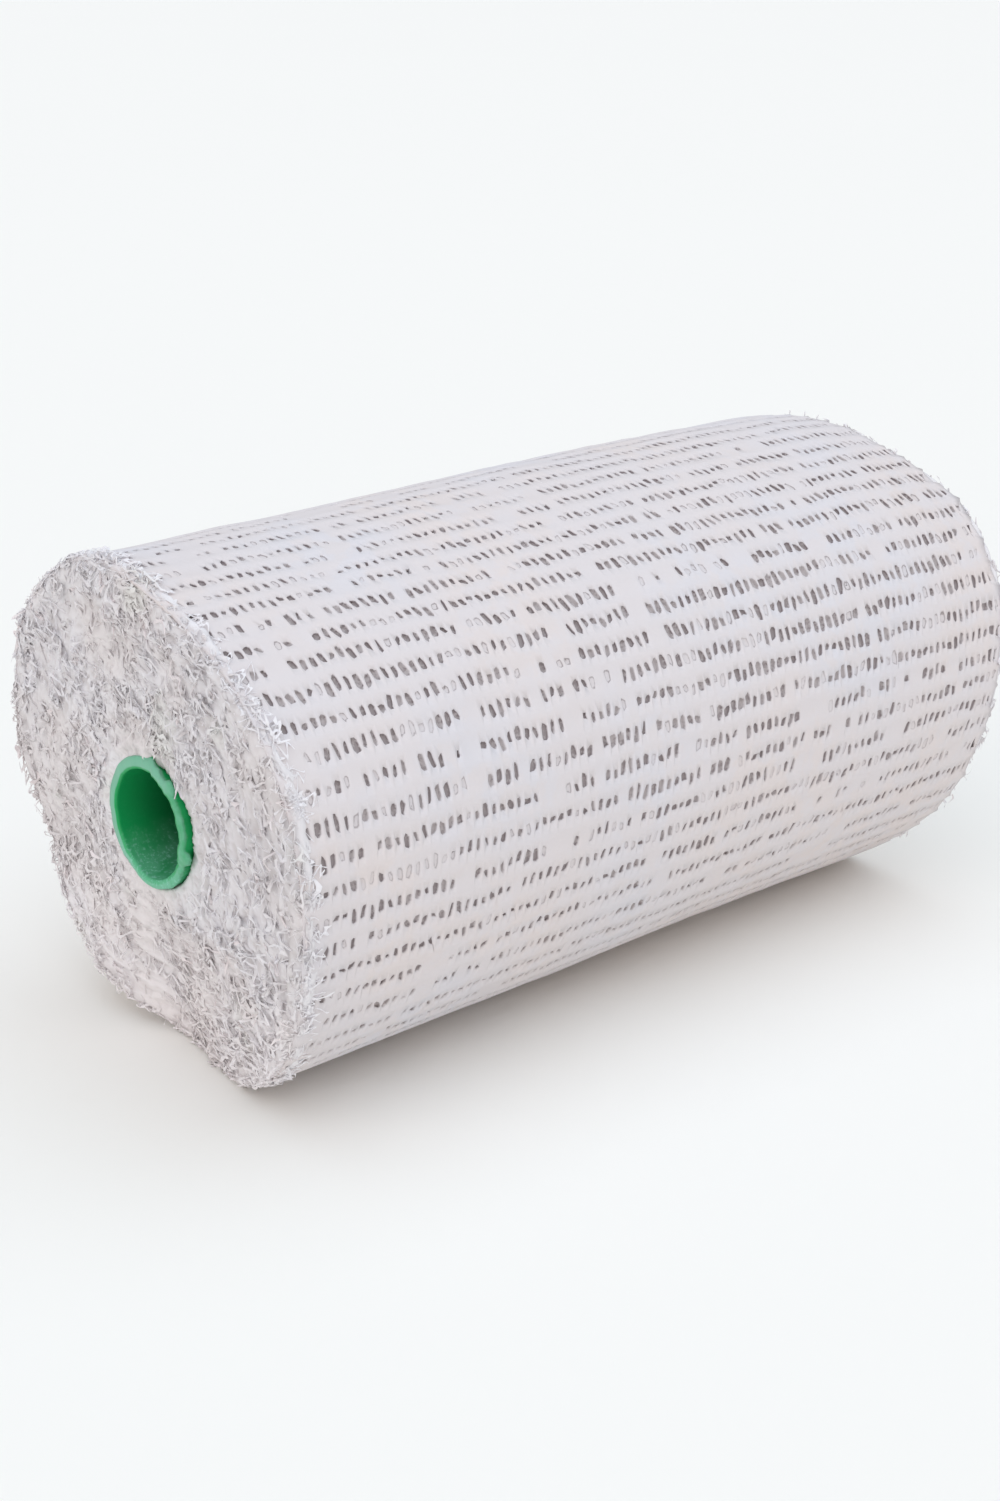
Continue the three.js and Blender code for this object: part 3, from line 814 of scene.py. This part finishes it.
def keepClear(mesh):  # off the ground, and out of the tube's mouth
    size, corner = clearance, clearance["corner"]
    points, radius, angle = polarOf(mesh)
    out, x = points[:, 1:] - [0, axisHeight], points[:, 0]
    radius, isNear = np.maximum(radius, 1e-6), x < 0
    swell = 0.45 * softNoise(points / 3.1, 71) + 0.2 * softNoise(points / 1.1, 72)
    end = faceX(nearEnd(angle), radius) - roll["gap"] - size["nearDeep"] + matThinner(angle, radius)
    farFace = -faceX(farEnd(angle), radius) - roll["gap"] - size["farDeep"]
    end = np.where(isNear, end, farFace) - swell
    along = np.maximum(end + corner - np.where(isNear, x, -x), 0)
    across = np.maximum(radius - (turnRadius(angle, x) + size["proud"] + swell - corner), 0)
    past = np.hypot(along, across)  # threads past the outline lie down on it
    wild = numbersOf(mesh, "threadTone") > size["wild"]  # but for a few that stand out
    give = np.where(isNear, np.where(wild, size["wildGive"], size["nearGive"]), size["farGive"])
    back = np.where(past > corner, 1 - (corner + give * (past - corner)) / np.maximum(past, 1e-6), 0)
    points[:, 0] = x + along * back * np.where(isNear, 1, -1)
    kept = radius - across * back
    kept = np.where(kept < size["bore"], size["bore"] + size["boreGive"] * (size["bore"] - kept), kept)
    points[:, 1:] = [0, axisHeight] + out * (kept / radius)[:, None]
    points[:, 2] = np.maximum(points[:, 2], size["ground"])
    setPoints(mesh, points)
    inward = np.where(isNear, points[:, 0] - nearEnd(angle)[0], farEnd(angle)[0] - points[:, 0])
    giveNumbers(mesh, "onCloth", ease(inward, -1.5, 0.4) * ease(radius, 24, 27))


def growThreads(name, surface, sizes, node=None):  # sizes in mm, density by the square metre
    base = newObject(name + "_base", surface, True)
    lengths = ("Shortest", "Longest", "Wave Size", "Wave Height", "Stoutness", "Sink")
    values = {label: size * mm if label in lengths else size for label, size in sizes.items()}
    mesh = threadGrower.grow(base, name, **values, **{"Keep Surface": bool(node)})
    bpy.data.objects.remove(base)
    keepClear(mesh)
    made = newObject(name, mesh)
    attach(made, "root")
    if node:
        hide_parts(node)
    mesh.calc_loop_triangles()
    print(name + ":", len(mesh.loop_triangles), "triangles")


# The mats: the felted edge of the cloth at each end, a lumpy slab with threads standing in it

nearMat = {"segments": 540, "steps": 90, "inner": 6.95, "inset": 2.0, "thick": 0.9, "thinnest": 0.15,
           "coarse": 0.36, "fine": 0.16, "fibre": 0.26, "seeds": (3, 5, 33, 50)}
farMat = {"segments": 400, "steps": 64, "inner": 7.3, "inset": 1.3, "thick": 0.55, "thinnest": 0.15,
          "coarse": 0.4, "fine": 0.2, "fibre": 0.26, "seeds": (13, 15, 37, 90)}


def lumps(angle, radius, size, seed):
    turn = np.radians(angle)
    return noiseOf(seed, radius * np.cos(turn) / size, radius * np.sin(turn) / size, seed / size)


def feltRelief(angle, radius, stretch, seed):  # curled fibres pressed together, 0 to 1
    turn = np.radians(angle)
    place = np.stack([16 / stretch * np.cos(turn), 16 / stretch * np.sin(turn), radius], -1).reshape(-1, 3)
    warp = np.column_stack([softNoise(place / 0.9, seed + k) for k in range(3)])
    relief = np.zeros(len(place))
    for layer in range(7):
        size, wide = (1.0, 0.17) if layer < 4 else (1.9, 0.11)
        curl = softNoise((place + 0.45 * warp) / size + 7.3 * layer, seed + 20 + layer)
        level = 0.7 + 0.3 * softNoise(place / 1.3 + 3.1 * layer, seed + 40 + layer)
        relief = np.maximum(relief, level * bell(curl, 0, wide))
    return relief.reshape(radius.shape)


def creepWidth(angle):  # how far the mat has crept over its rim
    wide = 0.8 + 0.7 * noiseOf(14, angle / 7) + 0.5 * noiseOf(15, angle / 2.6, 4)
    turned = np.mod(angle, 360)
    return np.maximum(wide + 1.2 * bell(turned, 60, 15) - 0.7 * bell(turned, 105, 17), 0.3)


def crevices(angle, radius):  # gaps between turns, most of them low in front
    turn = np.radians(angle)
    gaping = noiseOf(61, 9 * np.cos(turn) / 0.85, 9 * np.sin(turn) / 0.85, radius / 0.85)
    most = bell(np.mod(angle - 46, 360), 180, 13) * bell(radius, 21.5, 3.2)
    return ease(gaping, 0.25, 0.6) * (0.25 + 0.75 * most)


def feltedFace(size, endAt):  # one face's angles, end, radii and reliefs
    angles = evenAngles(size["segments"])
    rim, bore, outer = endAt(angles)
    end = rim[:, None], bore, outer[:, None]
    seeds, wide = size["seeds"], angles[:, None] + np.zeros(size["steps"])
    radius = size["inner"] + (end[2] - size["inset"] - size["inner"]) * np.linspace(0, 1, size["steps"])
    rough = size["coarse"] * lumps(wide, radius, 2.6, seeds[0])
    rough += size["fine"] * lumps(wide, radius, 1.1, seeds[1])
    rough += 0.14 * np.sin(2 * np.pi * (radius / 1.9 + 0.5 * lumps(wide, radius, 5.0, seeds[2])))
    return angles, end, wide, radius, rough, size["fibre"] * feltRelief(wide, radius, 1.5, seeds[3])


def rimBump(turn, away, seeds, fibre):
    return 0.2 * lumps(turn, away, 1.5, seeds[0]) + fibre * feltRelief(turn, away, 1.0, seeds[1])


def dressed(mesh, points, density, shade):
    giveNumbers(mesh, "density", density)
    # the felt's painted shade goes in along, which the thread finish darkens towards its root colour
    giveNumbers(mesh, "along", np.clip(shade, 0, 1))
    giveNumbers(mesh, "threadTone", 0.15 + 0.2 * softNoise(points / 1.5, 6))
    return smoothed(mesh)


def nearMatSurface():
    size, gap = nearMat, roll["gap"]
    angles, end, wide, radius, rough, fibres = feltedFace(size, nearEnd)
    (rim, bore, outer), turn = end, wide[:, :1]
    atTube = 0.85 - 0.5 * np.cos(np.radians(wide - 190))
    thick = atTube + (size["thick"] - atTube) * ease(radius, 7.2, 12) - matThinner(wide, radius)
    rough -= 1.1 * crevices(wide, radius)
    depth = np.maximum(thick * (1 + rough * 0.8), size["thinnest"])
    rings = [(faceX(end, radius) - gap - depth - fibres, radius)]
    creep = creepWidth(turn)
    profile = [(-1.45, -1.6), (-1.42, -1.2), (-1.36, -0.85), (-1.22, -0.5), (-1.0, -0.2), (-0.7, 0.0)]
    profile += [(-0.5 + share * (creep + 0.2), 0.06 + 0.1 * math.sin(math.pi * share) - 0.34 * share ** 3)
                for share in np.linspace(0, 1, 10)]
    for dx, dr in profile:  # over the rim, and along the cloth
        at = rim + dx
        bump = rimBump(turn, 30 + 1.6 * (at - rim), (9, 80), 0.3) - 0.1
        inward = ease(-np.asarray(dx), 0.6, 1.5)
        outline = turnRadius(turn, at) + dr + bump * (1 - inward)
        rings.append((at - bump * inward, aboveGround(turn, outline, 0.1)))
    hidden = [(rim - 0.4 + 0.6 * creep, outer - 0.6), (rim - 0.5, outer - 0.8), (rim - 0.6, outer - 1.5),
              (rim - gap, outer - 2.3), (bore - gap, 7.0)]
    rings += [(x + 0 * rim, aboveGround(turn, away + 0 * rim, 0.1)) for x, away in hidden]
    mesh = ringMesh("near_mat", rings, angles)
    points, away, angle = polarOf(mesh)
    face, outer = faceX(nearEnd(angle), away), nearEnd(angle)[2]
    gaps = crevices(angle, away)
    inFront = bell(np.mod(angle, 360), 165, 32)  # smoother felt in front of the tube
    atRim = ease(away, outer - 1.6, outer - 0.3) * ease(inFront, -0.02, 0.1)
    density = ease(face - points[:, 0], 0.3, 0.6) * ease(away, 8.8, 10.2)
    density = density * (1 - 0.8 * gaps) * (1 - 0.5 * inFront) * (1 - 0.8 * atRim)
    onFace = ease(face + 0.4 - points[:, 0], 0, 0.8)
    # painted shade: dark in the crevices and between the felt ridges, a little darker in front of the tube
    shade = 0.1 + 0.75 * feltRelief(angle, away, 1.5, size["seeds"][3]) * onFace - 0.6 * gaps - 0.2 * inFront
    return dressed(mesh, points, density, shade)


edgeBand = {"segments": 240, "steps": 16, "from": -1.4, "to": 3.6}


def edgeBandSurface():  # where threads creep over the near rim
    size, angles = edgeBand, evenAngles(edgeBand["segments"])
    steps = np.linspace(size["from"], size["to"], size["steps"])[None, :]
    x, wide = nearEnd(angles)[0][:, None] + steps, angles[:, None] + 0 * steps
    radius = turnRadius(wide, x) + 0.1 - 0.25 * (1 - ease(steps, size["from"], size["from"] / 2))
    points = aroundAxis(x, aboveGround(wide, radius, 0.1), wide).reshape(-1, 3)
    mesh = meshOf("edge_band", points, gridFaces(*x.shape, True))
    work = bmesh.new()
    work.from_mesh(mesh)
    axis = Vector((0, 0, axisHeight * mm))
    inward = [face for face in work.faces if face.normal.dot(face.calc_center_median() - axis) < 0]
    bmesh.ops.reverse_faces(work, faces=inward)
    work.to_mesh(mesh)
    work.free()
    border = creepWidth(angles)[:, None] - 0.4
    giveNumbers(mesh, "density", (1 - ease(steps, border - 0.8, border + 0.5)).ravel())
    return mesh


near = nearMatSurface()
growThreads("near_mat", near, {
    "Density": 0.5e6, "Shortest": 1.6, "Longest": 3.2, "Most Lift": 0.04, "Wave Size": 1.6,
    "Wave Height": 2.4, "Stoutness": 3.2, "Sink": 0.16, "Seed": 40}, "near_fringe")
growThreads("near_threads", near, {
    "Density": 0.85e6, "Shortest": 1.5, "Longest": 3.0, "Least Lift": 0.0, "Most Lift": 0.08,
    "Wave Size": 1.4, "Wave Height": 2.4, "Stoutness": 3.0, "Sink": 0.1, "Seed": 60})
growThreads("edge_threads", edgeBandSurface(), {
    "Density": 3.4e6, "Shortest": 0.8, "Longest": 1.6, "Most Lift": 0.02, "Flow": 0.3, "Wave Size": 1.8,
    "Wave Height": 1.0, "Stoutness": 2.8, "Sink": 0.08, "Seed": 80})


def clothEndBand():  # along the cloth's outer end, at the back
    x = np.linspace(nearEdge + 2, farEdge - 1.5, 120)[:, None] + np.zeros(3)
    angle = roll["endAngle"] + np.array([[0.5, 0.15, -0.2]]) + 0 * x
    radius = turnRadius(angle, x) + [[-0.1, -0.05, 0.04]]
    points = aroundAxis(x, radius, angle).reshape(-1, 3)
    mesh = meshOf("cloth_end_band", points, gridFaces(*x.shape))
    giveNumbers(mesh, "density", np.clip(0.5 + softNoise(points / 3, 52), 0.1, 1))
    return mesh


growThreads("end_threads", clothEndBand(), {
    "Density": 7.0e6, "Shortest": 0.5, "Longest": 1.5, "Most Lift": 0.05, "Flow": -1.6, "Wave Size": 1.4,
    "Wave Height": 1.0, "Stoutness": 1.8, "Flatness": 0.6, "Sink": 0.04, "Seed": 90})


def farMatSurface():
    size, gap = farMat, roll["gap"]
    angles, end, wide, radius, rough, fibres = feltedFace(size, farEnd)
    (rim, bore, outer), turn = end, wide[:, :1]
    depth = np.maximum(size["thick"] * (1 + rough), size["thinnest"])
    rings = [(faceX(end, radius) + gap + depth + fibres, radius)]
    for dx, dr in ((0.95, -0.95), (0.85, -0.6), (0.65, -0.32), (0.35, -0.12), (0.05, -0.16)):
        bump = rimBump(turn, 30 + dx + 0 * rim, (19, 95), 0.25) - 0.12
        outline = outer + dr + 0.5 * bump * ease(dr, -0.9, -0.4)
        rings.append((rim + dx + bump * ease(dx, 0.2, 0.7), aboveGround(turn, outline, 0.1)))
    hidden = [(rim - 0.1, outer - 0.7), (rim + gap, outer - 2.2), (bore + gap, 7.25)]
    rings += [(x + 0 * rim, aboveGround(turn, away + 0 * rim, 0.2)) for x, away in hidden]
    mesh = ringMesh("far_mat", rings, angles)
    points, away, angle = polarOf(mesh)
    face, outer = faceX(farEnd(angle), away), farEnd(angle)[2]
    density = ease(points[:, 0] - face, 0.3, 0.6) * ease(away, 7.5, 8.5)
    density = density * (1 - 0.75 * ease(away, outer - 1.6, outer - 0.6))
    onFace = ease(points[:, 0] - face + 0.2, 0, 0.6)
    # painted shade: dark between the felt ridges
    shade = 0.1 + 0.75 * feltRelief(angle, away, 1.5, size["seeds"][3]) * onFace
    return dressed(mesh, points, density, shade)


far = farMatSurface()
growThreads("far_mat", far, {
    "Density": 0.5e6, "Shortest": 1.5, "Longest": 3.0, "Most Lift": 0.04, "Outward": -0.1, "Wave Size": 1.4,
    "Wave Height": 2.0, "Stoutness": 2.6, "Flatness": 0.55, "Sink": 0.14, "Seed": 100}, "far_fringe")
growThreads("far_threads", far, {
    "Density": 1.0e6, "Shortest": 1.4, "Longest": 2.8, "Least Lift": 0.0, "Most Lift": 0.08, "Outward": -0.1,
    "Wave Size": 1.2, "Wave Height": 2.0, "Stoutness": 2.1, "Flatness": 0.6, "Sink": 0.08, "Seed": 120})


# The green tube, cut a little unevenly and torn at its mouth

tubeShape = {"segments": 180, "uneven": 0.22, "bevel": 0.12, "short": 0.15,
             "depths": (90, 70, 50, 32, 20, 12, 7, 4, 2.2, 1.2, 0.7, 0.35),  # rings down the bore
             "flaps": [(196, 7, 0.5), (234, 6, 0.1), (184, 4, -0.6), (152, 3, -0.35)]}  # angle, width, size


def makeTube():
    size, angles = tubeShape, evenAngles(tubeShape["segments"])
    outer, inner, bevel = roll["tubeRadius"], roll["tubeRadius"] - roll["tubeWall"], size["bevel"]
    ragged = noiseOf(17, angles / 16) + 0.5 * noiseOf(18, angles / 5)
    mouth = nearEdge + size["uneven"] * ragged * (0.6 - 0.4 * np.cos(np.radians(angles)))
    tail = farEdge - size["short"]
    spread = ease(angles, 70, 112) * (1 - ease(angles, 205, 250))
    torn = spread * (0.55 + 0.55 * noiseOf(23, angles / 10) + 0.2 * noiseOf(24, angles / 3))
    torn = torn + 0.4 * (1 - spread) * ease(np.cos(np.radians(angles - 50)), -0.6, 0.4)
    for middle, width, out in size["flaps"]:
        torn = torn + out * bell(angles, middle, width)
    torn = np.maximum(torn, 0)
    section = [(mouth + bevel, inner), (mouth, inner + bevel), (mouth - 0.05, 0.5 * (inner + outer)),
               (mouth, outer - bevel + 0.9 * torn), (mouth + bevel + 0.2 * torn, outer + torn),
               (mouth + 2 * bevel + 0.3 * torn, outer + 0.6 * torn), (mouth + 1.1, outer), (mouth + 4, outer),
               (tail - 3, outer), (tail - bevel, outer), (tail, outer - bevel), (tail, inner + bevel),
               (tail - bevel, inner), *((mouth + deep, inner) for deep in size["depths"])]
    x, radius = (np.column_stack([side + 0 * mouth for side in sides]) for sides in zip(*section))
    radius = radius + 0.04 * noiseOf(19, x / 6, angles[:, None] / 30)
    mesh = ringMesh("green_tube", [(x, radius)], angles)
    points, wide, angle = polarOf(mesh)
    side = ease(np.cos(np.radians(angle - 35)), -0.4, 0.7)
    scuffed = (1 - ease(points[:, 0] - nearEdge, 0.3, 0.6)) * ease(wide, 5.7, 6.3)
    giveNumbers(mesh, "cutRim", scuffed * (0.62 + 0.38 * side))  # pale where the saw has scuffed it
    mesh.materials.append(plastic)
    made = newObject("green_tube", smoothed(mesh))
    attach(made, "root")
    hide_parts("core_tube")


makeTube()
clearCollection(shortThreads)
print("tube made")


# Floor and light

studio = {"reach": 6000, "under": 0.02, "floor": (249, 247, 242), "sky": (1.0, 0.965, 0.95, 1),
          "skyStrength": 0.57, "lights": {
    "topLight": {"strength": 1.36, "tint": (0.69, 0.85, 1.0), "from": (0.05, -0.2, 1.0), "angle": 80},
    "endLight": {"strength": 1.2, "tint": (1.0, 0.935, 0.93), "from": (-0.87, -0.45, 0.2), "angle": 100}}}


def makeStudio():
    points = [(x * studio["reach"], y * studio["reach"], -studio["under"])
              for x, y in ((-1, -1), (1, -1), (1, 1), (-1, 1))]
    floor = newObject("floor", meshOf("floor", points, [(0, 1, 2, 3)]))
    material, nodes, shader, place = startMaterial("paleFloor", 1.0)
    white = shaderInks({"floor": studio["floor"]})["floor"]
    duller = (*(0.995 * part for part in white[:3]), 1)
    nodes.feed(shader.inputs["Base Color"], nodes.mixed(nodes.noise(place, 3, 1), white, duller))
    floor.data.materials.append(material)
    world = bpy.data.worlds.new("studio")
    world.use_nodes = True
    sky = world.node_tree.nodes["Background"]
    sky.inputs["Color"].default_value = studio["sky"]
    sky.inputs["Strength"].default_value = studio["skyStrength"]
    scene.world = world
    for name, soft in studio["lights"].items():
        light = bpy.data.lights.new(name, "SUN")
        light.energy, light.angle, light.color = soft["strength"], math.radians(soft["angle"]), soft["tint"]
        lamp = newObject(name, light)
        lamp.rotation_mode = "QUATERNION"
        lamp.rotation_quaternion = Vector(soft["from"]).to_track_quat("Z", "Y")
    scene.view_settings.view_transform = "Standard"
    scene.view_settings.look = "None"


makeStudio()
print("studio made")
